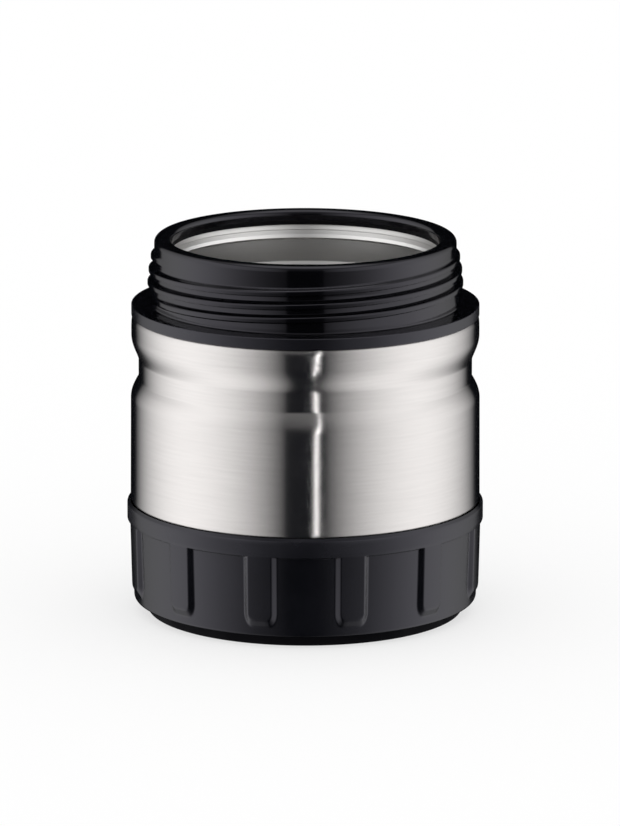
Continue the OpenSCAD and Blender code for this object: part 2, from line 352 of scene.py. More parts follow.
def brushed_lines():
    """Group: fine lines that run round the jar's axis, with long soft variations."""
    name = "brushed_lines"
    if name in bpy.data.node_groups:
        return bpy.data.node_groups[name]
    group, given, out = new_group(name, {"Across": 1500.0, "Along": 3.0}, ("Lines", "Drift", "Height"))
    where = put(group, "ShaderNodeTexCoord").outputs["Object"]
    x, y, z = put(group, "ShaderNodeSeparateXYZ", {"Vector": where}).outputs
    radius = calc(group, "SQRT", calc(group, "ADD", times(group, x, x), times(group, y, y)))
    away = calc(group, "MAXIMUM", radius, 1e-4)  # never 0, so that it can divide
    side = times(group, calc(group, "DIVIDE", x, away), given.outputs["Along"])
    front = times(group, calc(group, "DIVIDE", y, away), given.outputs["Along"])
    path = calc(group, "ADD", radius, z)

    def noise(scale):
        across = times(group, path, times(group, given.outputs["Across"], scale))
        vector = put(group, "ShaderNodeCombineXYZ", {"X": across, "Y": side, "Z": front}).outputs[0]
        sockets = {"Vector": vector, "Scale": 1.0, "Detail": 2.0, "Roughness": 0.5}
        return put(group, "ShaderNodeTexNoise", sockets).outputs["Fac"]

    fine_share, broad_scale = 0.6, 0.12
    fine, broad = noise(1.0), noise(broad_scale)
    lines = calc(group, "ADD", times(group, fine, fine_share), times(group, broad, 1 - fine_share))
    give_out(group, out, {"Lines": lines, "Drift": broad, "Height": fine})
    return group


def moulded_grain():
    """Group: fine grain of a moulded surface, with soft patches and a few faint specks."""
    name = "moulded_grain"
    if name in bpy.data.node_groups:
        return bpy.data.node_groups[name]
    sizes = {"Grain Size": 2600.0, "Patch Size": 60.0, "Speck Size": 900.0}
    group, given, out = new_group(name, sizes, ("Grain", "Patches", "Specks"))
    where = put(group, "ShaderNodeTexCoord").outputs["Object"]

    def texture(kind, size, result, **sockets):
        return put(group, kind, {"Vector": where, "Scale": given.outputs[size], **sockets}).outputs[result]

    grain = texture("ShaderNodeTexNoise", "Grain Size", "Fac", Detail=2.0)
    patches = texture("ShaderNodeTexNoise", "Patch Size", "Fac", Detail=3.0)
    cells = texture("ShaderNodeTexVoronoi", "Speck Size", "Distance")
    specks = ramp(group, cells, 0.04, 0.1, 1.0, 0.0)  # small dots at the middles of the cells
    rare = ramp(group, patches, 0.56, 0.64)  # only where a patch is strong
    give_out(group, out, {"Grain": grain, "Patches": patches, "Specks": times(group, specks, rare)})
    return group


def empty_material(name):
    """New material without nodes, and its tree."""
    material = bpy.data.materials.new(name)
    material.use_nodes = True
    material.node_tree.nodes.clear()
    return material, material.node_tree


def begin_material(name):
    """New material with only its output and a Principled shader."""
    material, tree = empty_material(name)
    shader = put(tree, "ShaderNodeBsdfPrincipled")
    put(tree, "ShaderNodeOutputMaterial", {"Surface": shader.outputs[0]})
    return material, tree, shader


def shades(base, contrast):
    """A darker and a lighter shade of a colour."""
    return [c * (1 - contrast) for c in base] + [1], [min(1, c * (1 + contrast)) for c in base] + [1]


def dress(tree, shader, linked, height, relief, values):
    """Links what varies over the surface, adds relief in millimetres, and sets the plain values."""
    for key, socket in linked.items():
        tree.links.new(socket, shader.inputs[key])
    if relief:
        bump = put(tree, "ShaderNodeBump", {"Strength": 1.0, "Distance": relief * MM, "Height": height})
        tree.links.new(bump.outputs["Normal"], shader.inputs["Normal"])
    for key, value in values.items():
        shader.inputs[key].default_value = value


def steel_material(name, base, roughness, grip, across=1500.0, relief=0.0):
    """Steel with lines that run round the axis. grip is the share of the shine that spreads across them."""
    contrast = 0.03  # of the lines, in colour and in roughness
    usual_low, usual_high = 0.3, 0.7  # most of a noise lies between these
    quarter_turn = 0.25
    material, tree, shader = begin_material(name)
    lines = put(tree, "ShaderNodeGroup", {"Across": across}, node_tree=brushed_lines())
    tone = ramp(tree, lines.outputs["Lines"], usual_low, usual_high, smooth=False)
    toned = blend(tree, tone, *shades(base, contrast))
    smoother, rougher = roughness * (1 - contrast), roughness * (1 + contrast)
    rough = ramp(tree, lines.outputs["Drift"], usual_low, usual_high, smoother, rougher, smooth=False)
    values = {"Metallic": 1.0, "Anisotropic": grip, "Anisotropic Rotation": quarter_turn}
    dress(tree, shader, {"Base Color": toned, "Roughness": rough}, lines.outputs["Height"], relief, values)
    return material


def plastic_material(name, base, roughness, grain=2600.0, relief=0.0, specks=0.0, ior=1.5, shine=0.53):
    """Moulded plastic or rubber: dark body colour with fine grain and faint patches."""
    contrast = 0.15  # of the patches, in colour and in roughness
    cool_shine = (0.9, 0.875, 1.0, 1.0)
    dust = (0.05, 0.05, 0.052, 1)
    tone_span, rough_span = (0.35, 0.65), (0.3, 0.7)  # strengths of the patches between which it changes
    material, tree, shader = begin_material(name)
    surface = put(tree, "ShaderNodeGroup", {"Grain Size": grain}, node_tree=moulded_grain())
    patches = surface.outputs["Patches"]
    toned = blend(tree, ramp(tree, patches, *tone_span), *shades(base, contrast))
    dusty = blend(tree, times(tree, surface.outputs["Specks"], specks), toned, dust)
    smoother, rougher = roughness * (1 - contrast), roughness * (1 + contrast)
    rough = ramp(tree, patches, *rough_span, smoother, rougher)
    values = {"IOR": ior, "Specular IOR Level": shine, "Specular Tint": cool_shine}
    dress(tree, shader, {"Base Color": dusty, "Roughness": rough}, surface.outputs["Grain"], relief, values)
    return material


def dull_black(base):
    """Finely textured black, shared by the flange's face and the cup's band."""
    name = "dull_black"
    if name in bpy.data.materials:
        return bpy.data.materials[name]
    return plastic_material(name, base, roughness=0.25, grain=3000.0, relief=0.003)


# ---- collar


def neck_bead(radius):
    """Outline of a wall of the steel neck where it swells into the bead that the collar snaps over."""
    level, rise, steps = 95.0 * MM, 1.2 * MM, 8
    crest = radius + 0.4 * MM
    below = wave(radius, level - rise, crest, level, steps)
    return below + wave(crest, level, radius, level + rise, steps)[1:]


def neck_root(z, sizes):
    """Radius of the collar's neck between the threads."""
    low, high = 90.9 * MM, 100.0 * MM
    return mix(sizes.foot_radius, sizes.land_radius, held((z - low) / (high - low)))


# Heights of the thread's crest and its radius there, in millimetres.
CREST_MARKS = ((92.3, 45.1), (96.1, 45.07), (99.8, 44.72), (103.1, 44.2), (103.9, 43.9))


def crest_radius(z):
    """Radius of the thread's crest at a height."""
    for (z0, r0), (z1, r1) in zip(CREST_MARKS, CREST_MARKS[1:]):
        if z <= z1 * MM:
            return mix(r0, r1, (z / MM - z0) / (z1 - z0)) * MM
    return CREST_MARKS[-1][1] * MM


# Rows of the mesh over one pitch, in millimetres above the middle of a crest, closest on its flanks.
THREAD_ROWS = (
    -1.875, -1.5, -1.33, -1.22, -1.12, -1.03, -0.94, -0.85, -0.76, -0.66, -0.5, -0.25, 0.05,
    0.28, 0.42, 0.56, 0.7, 0.84, 0.98, 1.12, 1.26, 1.4, 1.5, 1.66,
)


def thread_form(t):
    """Height of the thread, 0 to 1, at t millimetres above the middle of its crest."""
    lower_foot, lower_run = 1.25, 0.62
    upper_foot, upper_run = 1.42, 1.12
    return ease((t + lower_foot) / lower_run) * ease((upper_foot - t) / upper_run)


def thread_radius(crest_z, t, sizes):
    """Radius at t millimetres above a crest of that height."""
    z = crest_z + t * MM
    root = neck_root(z, sizes)
    fade = 0.45 * MM
    size = ease((crest_z - sizes.thread_low) / fade) * ease((sizes.thread_high - crest_z) / fade)
    return root + size * max(crest_radius(crest_z) - root, 0.0) * thread_form(t)


def collar_outlines(sizes, body):
    """Fixed outlines below and above the threads, each point with its material: 0 gloss, 1 dull black."""
    low, top = COLLAR_LOW.z, COLLAR_HIGH.z
    edge = COLLAR_HIGH.x + 0.12 * MM
    flange_top = low + 3.22 * MM
    upper_round, lower_round = 0.25 * MM, 0.2 * MM
    fillet, fillet_z = 0.55 * MM, flange_top + 0.15 * MM
    bore = body.neck_radius + 0.2 * MM
    seal, seal_top = bore + 1.6 * MM, body.shoulder_level + 1.3 * MM
    under = [(bore, seal_top), (seal, seal_top), (seal, low), (edge - lower_round, low)]
    face = arc(edge - lower_round, low + lower_round, lower_round, -90, 0, 5)[1:]
    face += arc(edge - upper_round, flange_top - upper_round, upper_round, 0, 90)
    neck = arc(sizes.foot_radius + fillet, fillet_z + fillet, fillet, 270, 180)
    lower = [(p, 0) for p in filled(under)]
    lower += [(p, 1) for p in filled([under[-1]] + face)[1:]]
    lower += [(p, 0) for p in filled([face[-1]] + neck)[1:]]

    land, mouth = sizes.land_radius, body.mouth_radius
    land_start, seat = 105.4 * MM, 105.7 * MM
    rim, lip = sizes.rim_round, sizes.mouth_round
    rounds = arc(land - rim, top - rim, rim, 0, 90, 16) + arc(mouth + lip, top - lip, lip, 90, 180, 14)
    upper = filled([(land, land_start)] + rounds + [(mouth, seat), (bore, seat)])
    upper += filled([(bore, seat)] + neck_bead(bore)[::-1] + [(bore, seal_top)])[1:-1]
    return lower, [(p, 0) for p in upper]


def build_collar(sizes, body, materials):
    """Collar with a two-start right-hand thread. Its rows follow the thread, to keep the flanks clean."""
    lower, upper = collar_outlines(sizes, body)
    start_z, end_z = 90.95 * MM, 105.3 * MM  # the threads' rows lie between these heights
    pitch = sizes.thread_lead / 2
    rows = [(m, t) for m in range(-4, 3) for t in THREAD_ROWS]  # crests counted from the one at the front
    points, columns = [], []

    def add(r, z, a):
        points.append((r * math.cos(a), r * math.sin(a), z))
        return len(points) - 1

    for k in range(SEGMENTS):
        a = TURN * k / SEGMENTS
        front = ((a + math.pi / 2) % TURN) / TURN  # share of a turn, counted from the front
        below = [add(r, z, a) for (r, z), _ in lower]
        below.append(add(neck_root(start_z, sizes), start_z, a))
        above = [add(neck_root(end_z, sizes), end_z, a)]
        middle = []
        for m, t in rows:
            crest = sizes.thread_level + pitch * m + sizes.thread_lead * front
            z = crest + t * MM
            if z <= start_z:
                middle.append(below[-1])
            elif z >= end_z:
                middle.append(above[0])
            else:
                middle.append(add(thread_radius(crest, t, sizes), z, a))
        above += [add(r, z, a) for (r, z), _ in upper]
        columns.append((front, below, middle, above))
    faces, zones = [], []

    def sew(left, right, row_zones=None):
        """Faces between two columns. Corners that fall together become one."""
        for i in range(len(left) - 1):
            ring = list(dict.fromkeys([left[i], right[i], right[i + 1], left[i + 1]]))
            if len(ring) > 2:
                faces.append(ring)
                zones.append(max(row_zones[i:i + 2]) if row_zones else 0)

    lower_zones = [zone for _, zone in lower] + [0]
    for k, (front, below, middle, above) in enumerate(columns):
        next_front, next_below, next_middle, next_above = columns[(k + 1) % SEGMENTS]
        sew(below, next_below, lower_zones)
        sew(above, next_above)
        sew([above[-1], below[0]], [next_above[-1], next_below[0]])
        shift = 2 * len(THREAD_ROWS) if next_front < front else 0
        sew(middle, next_middle[shift:] + [next_above[0]] * shift)
    return make_piece("screw_collar", points, faces, materials, ["neck_collar"], zones)


class JAR_OT_collar(Operator):
    """Build the black screw collar with its two-start thread"""

    bl_idname = "jar.collar"
    bl_label = "Screw collar"

    def execute(self, context):
        scene = context.scene
        base = scene.jar_finish.gloss
        gloss = plastic_material(
            "gloss_black", base, roughness=0.09, grain=1400.0, relief=0.0006, specks=0.04
        )
        dull = dull_black(scene.jar_finish.edge)
        build_collar(scene.jar_collar, scene.jar_body, [gloss, dull])
        return {"FINISHED"}


# ---- steel body


def swell(r0, z0, r1, z1, power, steps=28):
    """Run of an outline that leaves its first point at a slant and arrives level with the wall."""
    return [
        (mix(r0, r1, math.sin(math.pi / 2 * i / steps) ** power), mix(z0, z1, i / steps))
        for i in range(steps + 1)
    ]


def chained_arcs(r, z, turns):
    """Smooth chain of arcs from an upright wall inwards. turns gives the radius and end angle of each."""
    out, start = [], 0.0
    for size, end in turns:
        a = math.radians(start)
        centre = (r - size * math.cos(a), z - size * math.sin(a))
        out += arc(*centre, size, start, end)
        r, z = out[-1]
        start = end
    return out


def body_outline(sizes):
    """Outside of the steel body, from its lower rim to its shoulder."""
    foot = sizes.radius + sizes.foot_spread
    middle = sizes.radius - 0.06 * MM
    crest = sizes.radius - sizes.top_draw
    step_low, step_high = 28.2 * MM, 33.2 * MM
    groove_low, groove_high = sizes.waist_level, sizes.waist_level + sizes.waist_height
    lower_run, upper_run = 5.9 * MM, 7.0 * MM
    lower_power, upper_power = 1.0, 1.35
    turn_level = sizes.shoulder_level - 3.66 * MM
    shoulder_turns = ((31.5 * MM, 4), (3.2 * MM, 34), (0.4 * MM, 90))
    return (
        [(sizes.step_radius, SHELL_LOW.z)]
        + wave(sizes.step_radius, step_low, foot, step_high)
        + swell(sizes.waist_radius, groove_low, middle, groove_low - lower_run, lower_power)[::-1]
        + swell(sizes.waist_radius, groove_high, crest, groove_high + upper_run, upper_power)
        + chained_arcs(crest, turn_level, shoulder_turns)
    )


def build_shell(sizes, material):
    """Outer shell as one thin closed wall, with its neck and the bead that the collar snaps over."""
    wall, neck, shoulder = sizes.shell_wall, sizes.neck_radius, sizes.shoulder_level
    top = SHELL_HIGH.z
    bend = 47.5 * MM  # inner end of the shoulder's round
    hole = sizes.mouth_radius + sizes.lip_flare + sizes.liner_wall + 0.2 * MM
    side = body_outline(sizes)
    outside = side + [(bend, shoulder), (neck, shoulder)] + neck_bead(neck) + [(neck, top)]
    inside = offset(side, wall) + [(bend, shoulder - wall), (neck - wall, shoulder - wall)]
    inside += neck_bead(neck - wall) + [(neck - wall, top - wall), (hole, top - wall), (hole, top)]
    outline = filled(outside + inside[::-1] + outside[:1])[:-1]
    return turned("steel_body", outline, material, ["outer_shell"])


class JAR_OT_steel_body(Operator):
    """Build the brushed outer shell with its waist groove"""

    bl_idname = "jar.steel_body"
    bl_label = "Steel body"

    def execute(self, context):
        scene = context.scene
        steel = steel_material("brushed_steel", scene.jar_finish.steel, roughness=0.2, grip=1.0)
        build_shell(scene.jar_body, steel)
        return {"FINISHED"}


# ---- liner


def build_liner(sizes, material):
    """Inner wall with its flared lip, the fine groove round the lip, and the bead in the throat."""
    wall, flare = sizes.liner_wall, sizes.lip_flare
    mouth, throat, store = sizes.mouth_radius, sizes.throat_radius, sizes.store_radius
    top = LINER_HIGH.z
    lip = top - 3.9 * MM  # lower edge of the lip
    groove = top - 1.6 * MM
    edge_round = wall / 2
    halfway = mouth + 0.66 * flare
    slope_low, slope_high = 76.4 * MM, 84.4 * MM
    bead = [(0, 91.8), (-0.45, 92.35), (-0.5, 92.55), (0.1, 93.2)]  # step from the throat, and height
    lip_run = 0.75 * MM
    lip_turn = ((0.02, 0.12), (0.12, 0.3), (0.42, 0.95))  # how far out and up from its lower edge
    groove_half, groove_depth, groove_end = 0.1 * MM, 0.15 * MM, 0.04 * MM
    bulge, bulge_low, bulge_high, steps = 0.3 * MM, 93.4 * MM, 99.4 * MM, 5
    core = [(store, DISH_HIGH.z)] + wave(store, slope_low, throat, slope_high)
    core += [(throat + by * MM, z * MM) for by, z in bead]
    for i in range(steps + 1):
        t = i / steps
        core.append((throat + bulge * (1 - t) ** 2, mix(bulge_low, bulge_high, t)))
    core += wave(throat, lip - lip_run, mouth, lip, 14)
    core += [(mouth + by * MM, lip + up * MM) for by, up in lip_turn]
    core.append((halfway, groove - groove_half))
    band = [(halfway + groove_depth, groove), (halfway + groove_end, groove + groove_half)]
    inside = core + band + arc(mouth + flare + edge_round, top - edge_round, edge_round, 170, 90, 6)
    outside = offset(core + [(mouth + flare, top)], -wall)[:-1]
    outside += [(mouth + flare + wall, top - wall), (sizes.neck_radius, top - wall), (sizes.neck_radius, top)]
    outline = filled(outside + inside[::-1] + outside[:1])[:-1]
    return turned("liner_wall", outline, material, ["inner_liner"])


def build_dish(sizes, material):
    """Pressed bottom of the liner, with its round corner."""
    store, corner = sizes.store_radius, 4.0 * MM
    floor = DISH_LOW.z + sizes.liner_wall

    def side(by):
        """One side of the sheet: by is its distance outwards from the inner side."""
        turn = arc(store - corner, floor + corner, corner + by, -90, 0, 14)
        return [(0, floor - by)] + turn + [(store + by, DISH_HIGH.z)]

    outline = filled(side(sizes.liner_wall) + side(0)[::-1])
    return turned("liner_dish", outline, material, ["liner_bottom"])


class JAR_OT_liner(Operator):
    """Build the steel liner and its bottom dish"""

    bl_idname = "jar.liner"
    bl_label = "Liner"

    def execute(self, context):
        scene = context.scene
        base = scene.jar_finish.liner
        steel = steel_material("liner_steel_finish", base, roughness=0.34, grip=0.5)
        build_liner(scene.jar_body, steel)
        build_dish(scene.jar_body, steel)
        return {"FINISHED"}


# ---- base cup


def rib_distance(u, z, sizes):
    """How far down a rib's side a point lies: 0 on the crest, 1 at its foot, u across from its middle."""
    corner = sizes.rib_corner / sizes.rib_side
    across = (abs(u) - sizes.rib_width / 2) / sizes.rib_side + corner
    down = (sizes.rib_level + sizes.rib_run - z) / sizes.rib_run + corner
    outside = math.hypot(max(across, 0), max(down, 0))
    return outside + min(max(across, down), 0) - corner


def slant(t, soft=0.2):
    """1 to 0 over a plain slanted side, with a small round at both edges."""
    if t <= -soft:
        return 1.0
    if t < soft:
        return 1 - (t + soft) ** 2 / (4 * soft)
    if t <= 1 - soft:
        return 1 - t
    if t < 1 + soft:
        return (1 + soft - t) ** 2 / (4 * soft)
    return 0.0


def cup_radius(u, z, sizes):
    """Radius of the cup's outside at a distance u from the nearest rib's middle."""
    low, band = CUP_LOW.z, sizes.band_level
    crest_in, ledge_run = 0.05 * MM, 0.55 * MM
    wall = mix(sizes.edge_radius, sizes.wall_radius, held((z - low) / (band - low)))
    up = held((z - sizes.rib_level) / (band - sizes.rib_level))
    crest = sizes.band_radius - crest_in - sizes.rib_draw * (1 - up)
    rib = wall + (crest - wall) * slant(rib_distance(u, z, sizes))
    ledge = wall + (sizes.band_radius - wall) * slant((band - z) / ledge_run)
    return max(rib, ledge)


def spaced(a, b, step):
    """Values from a towards b, without b, no further apart than a step."""
    count = max(1, math.ceil((b - a) / step))
    return [a + (b - a) * i / count for i in range(count)]


def cup_levels(sizes, low, high):
    """Heights of the mesh's rows on the cup's outside, closest at the ribs' feet and at the band's ledge."""
    foot_low, foot_high = sizes.rib_level - 0.3 * MM, sizes.rib_level + 4.6 * MM
    ledge_low, ledge_high = sizes.band_level - 0.9 * MM, sizes.band_level + 0.1 * MM
    edge_step, plain_step, foot_step, ledge_step = 0.8 * MM, 1.2 * MM, 0.14 * MM, 0.07 * MM
    return (
        spaced(low, foot_low, edge_step)
        + spaced(foot_low, foot_high, foot_step)
        + spaced(foot_high, ledge_low, plain_step)
        + spaced(ledge_low, ledge_high, ledge_step)
        + spaced(ledge_high, high, plain_step)
    )


def rib_offsets(sizes, half):
    """Distances of the mesh's columns from a rib's middle, closest at the edges of its slanted sides."""
    crest_edge, foot_edge = sizes.rib_width / 2, sizes.rib_width / 2 + sizes.rib_side
    close = [0.07 * MM * i for i in range(-4, 5)]
    marks = [m * MM for m in (0.0, 1.2, 2.2, 2.8, 3.1)]
    marks += [crest_edge + m for m in close]
    marks += [mix(crest_edge, foot_edge, t) for t in (0.24, 0.37, 0.5, 0.63, 0.76)]
    marks += [foot_edge + m for m in close]
    valley = [foot_edge + m * MM for m in (0.4, 0.8, 1.6, 2.8, 4.2, 5.8, 7.4)]
    marks += [m for m in valley if m < half - 0.3 * MM]
    return sorted({-m for m in marks[1:]} | set(marks) | {half})


def build_cup(sizes, body, materials):
    """Base cup: ribbed outside, top band with its slanted lip, floor with the groove for the foot ring."""
    low, top = CUP_LOW.z, CUP_HIGH.z
    edge, lip_slope, lip_edge = 0.85 * MM, 0.2 * MM, 0.1 * MM
    crown_gap, crown_round, crown_in = 0.25 * MM, 0.3 * MM, 0.06 * MM
    floor = SHELL_LOW.z
    band, band_top = sizes.band_level, top - 0.8 * MM
    bore, lip_bore = body.step_radius + 0.2 * MM, body.radius + 0.25 * MM
    pocket = band + 0.8 * MM
    groove_out, groove_in, groove_top = 43.05 * MM, 39.65 * MM, low + 1.2 * MM
    below = [(0, low), (groove_in, low), (groove_in, groove_top), (groove_out, groove_top), (groove_out, low)]
    below = filled(below + arc(sizes.edge_radius - edge, low + edge, edge, -90, 0, 6))
    levels = cup_levels(sizes, low + edge, band_top - crown_gap)
    above = filled([
        (sizes.band_radius, band_top - crown_round), (sizes.band_radius - crown_in, band_top),
        (lip_bore + lip_slope, top), (lip_bore, top - lip_edge), (lip_bore, pocket),
        (bore, pocket), (bore, floor), (0, floor),
    ])
    step = TURN / sizes.rib_count
    offsets = rib_offsets(sizes, step / 2 * sizes.band_radius)
    columns = []
    for k in range(sizes.rib_count):
        middle = (k + 0.5) * step + sizes.rib_turn
        columns += [(middle + u / sizes.band_radius, u) for u in offsets]
    points, faces, zones = [], [], []
    for a, u in columns:
        c, s = math.cos(a), math.sin(a)
        column = below + [(cup_radius(u, z, sizes), z) for z in levels] + above
        points += [(r * c, r * s, z) for r, z in column]
    rows = len(below) + len(levels) + len(above)
    first_band = len(below) + sum(z < band for z in levels)
    last_band = len(below) + len(levels) + 2  # the band's upper edge adds two rows
    for k in range(len(columns)):
        here, there = k * rows, (k + 1) % len(columns) * rows
        for i in range(rows - 1):
            if i == 0:
                faces.append([here, there + 1, here + 1])
            elif i == rows - 2:
                faces.append([here + i, there + i, here + i + 1])
            else:
                faces.append([here + i, there + i, there + i + 1, here + i + 1])
            zones.append(1 if first_band <= i < last_band else 0)
    return make_piece("ribbed_base_cup", points, faces, materials, ["base_cup"], zones)


class JAR_OT_base_cup(Operator):
    """Build the satin black base cup with its ribs"""

    bl_idname = "jar.base_cup"
    bl_label = "Base cup"

    def execute(self, context):
        scene = context.scene
        base = scene.jar_finish.satin
        satin = plastic_material(
            "satin_black", base, roughness=0.2, grain=2600.0, relief=0.002, specks=0.05
        )
        build_cup(scene.jar_cup, scene.jar_body, [satin, dull_black(scene.jar_finish.edge)])
        return {"FINISHED"}


def build_foot(material):
    """Foot ring with softened edges and the tongue that sits in the cup."""
    soft, wider = 0.4 * MM, 0.4 * MM
    out, top = FOOT_HIGH.x + wider, FOOT_HIGH.z
    inner = out - 7.0 * MM
    tongue_out = out - 2.0 * MM
    tongue_in = tongue_out - 3.0 * MM
    shelf = top - 1.0 * MM
    outline = arc(out - soft, soft, soft, -90, 0, 6) + [(out, shelf), (tongue_out, shelf), (tongue_out, top)]
    outline += [(tongue_in, top), (tongue_in, shelf), (inner, shelf)]
    outline += arc(inner + soft, soft, soft, 180, 270, 6)
    outline = filled(outline + outline[:1])[:-1]
    return turned("rubber_foot_ring", outline, material, ["foot_ring"])


class JAR_OT_foot_ring(Operator):
    """Build the non-slip foot ring"""

    bl_idname = "jar.foot_ring"
    bl_label = "Foot ring"

    def execute(self, context):
        base = context.scene.jar_finish.rubber
        rubber = plastic_material(
            "foot_rubber_finish", base, roughness=0.8, grain=3200.0, relief=0.01, shine=0.12
        )
        build_foot(rubber)
        return {"FINISHED"}


# ---- inner parts


class JAR_OT_inner_parts(Operator):
    """Give the seals and the parts in the vacuum space their finishes"""

    bl_idname = "jar.inner_parts"
    bl_label = "Inner parts"

    def execute(self, context):
        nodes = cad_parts
        silicone = plastic_material(
            "black_silicone", (0.002, 0.002, 0.002), roughness=0.6, grain=2200.0, relief=0.004, shine=0.15
        )
        pressed = steel_material("pressed_steel_finish", (0.55, 0.55, 0.54), roughness=0.35, grip=0.3)
        foil = steel_material(
            "foil_finish", (0.8, 0.8, 0.8), roughness=0.2, grip=0.2, across=900.0, relief=0.01
        )
        getter = plastic_material(
            "sintered_metal", (0.12, 0.12, 0.12), roughness=0.7, grain=5000.0, relief=0.02
        )
        felt = plastic_material("grey_felt", (0.09, 0.09, 0.09), roughness=0.95, grain=1800.0, relief=0.06)
        glass = plastic_material(
            "solder_glass", (0.25, 0.28, 0.3), roughness=0.15, grain=1200.0, relief=0.003, ior=1.55
        )
        finishes = {
            "collar_gasket": silicone, "shoulder_seal": silicone, "base_seal": silicone,
            "shell_bottom": pressed, "getter_clip": pressed, "reflector_foil": foil,
            "getter": getter, "damper_pad": felt, "seal_bead": glass,
        }
        for name, material in finishes.items():
            for place in nodes[name].material_slots:
                place.material = material
        return {"FINISHED"}


# ---- studio


def on_right(tree, turn, left, right):
    """One value on the left of the front and another on the right, with a soft change between them."""
    half_change = 5.0  # in degrees
    return ramp(tree, turn, -half_change, half_change, left, right)


def sine_glow(tree, side, height, low_start, high_start):
    """Softboxes that rise like a sine from their front edge to their middle, and fall to their back edge."""
    rise_width, back_edge, fall_width = 75.0, 149.5, 64.0
    low_level, high_level = -50.0, -30.0
    start = ramp(tree, height, low_level, high_level, low_start, high_start)
    rise = calc(tree, "DIVIDE", calc(tree, "SUBTRACT", side, start), rise_width)
    fall = calc(tree, "DIVIDE", calc(tree, "SUBTRACT", back_edge, side), fall_width)
    part = calc(tree, "MAXIMUM", calc(tree, "MINIMUM", calc(tree, "MINIMUM", rise, fall), 1.0), 0.0)
    return calc(tree, "SINE", times(tree, part, math.pi / 2))


def soft_glow(tree, turn, side, height):
    """Softboxes with soft edges, which reach further to the front above the horizon."""
    middle, width = 88.0, 45.0
    wide_middle, wide_reach, wide_share = 85.0, 78.0, 0.97
    horizon = (-10.0, -1.0)  # the heights over which the wide part comes in
    front_edge, back_edge, right_shift = (13.2, 14.4), (140.0, 146.0), 4.0
    off = calc(tree, "SUBTRACT", side, middle)
    inner = calc(tree, "LESS_THAN", off, 0.0)
    narrow = calc(tree, "DIVIDE", off, width)
    narrow = calc(tree, "EXPONENT", times(tree, narrow, narrow, -1.0))
    wide = calc(tree, "DIVIDE", calc(tree, "SUBTRACT", side, wide_middle), wide_reach)
    wide = times(tree, calc(tree, "SUBTRACT", 1.0, times(tree, wide, wide)), wide_share)
    leave = times(tree, ramp(tree, height, *horizon), inner)
    glow = calc(tree, "ADD", narrow, times(tree, leave, calc(tree, "SUBTRACT", wide, narrow)))
    end = calc(tree, "SUBTRACT", side, on_right(tree, turn, 0.0, right_shift))
    gate = times(tree, ramp(tree, side, *front_edge), ramp(tree, end, *back_edge, 1.0, 0.0))
    return times(tree, glow, gate)


def body_glow(tree, turn, side, height):
    """Softboxes as the brushed body shows them, with a dark gap in front that lies a little to the right."""
    gap_edge, gap_shift = (11.5, 14.5), 0.8
    low_start, high_start = 11.5, 11.0
    left_share, right_share = 0.98, 0.94
    nearer = times(tree, on_right(tree, turn, 0.0, 1.0), gap_shift)
    gate = ramp(tree, calc(tree, "SUBTRACT", side, nearer), *gap_edge)
    glow = times(tree, sine_glow(tree, side, height, low_start, high_start), gate)
    return times(tree, glow, on_right(tree, turn, left_share, right_share))


def liner_glow(tree, turn, side, height):
    """Softboxes as the inside of the jar shows them, without a gap in front."""
    start = -10.0  # past the front, so that both softboxes meet there
    return sine_glow(tree, side, height, start, start)


# How each finish sees the studio, with heights in degrees: the glow of the softboxes, where they fade below
# and what is left of them there, where they begin to fade above, where the light above begins, and its share.
DOME_LOOKS = {
    "plastic": (soft_glow, (-60.0, -38.0), 0.45, 40.0, 52.0, 1.0),
    "liner": (liner_glow, (-88.0, -70.0), 0.3, 44.0, 62.0, 0.8),
    "body": (body_glow, (-88.0, -70.0), 0.3, 44.0, 62.0, 1.0),
}


def emission(tree, shade, strength):
    """Light of one colour."""
    return put(tree, "ShaderNodeEmission", {"Color": (*shade, 1.0), "Strength": strength}).outputs[0]


def both(tree, first, second):
    """Two shaders added up."""
    return put(tree, "ShaderNodeAddShader", {0: first, 1: second}).outputs[0]


def clear(tree):
    """Shader that lets everything behind it show."""
    return put(tree, "ShaderNodeBsdfTransparent").outputs[0]


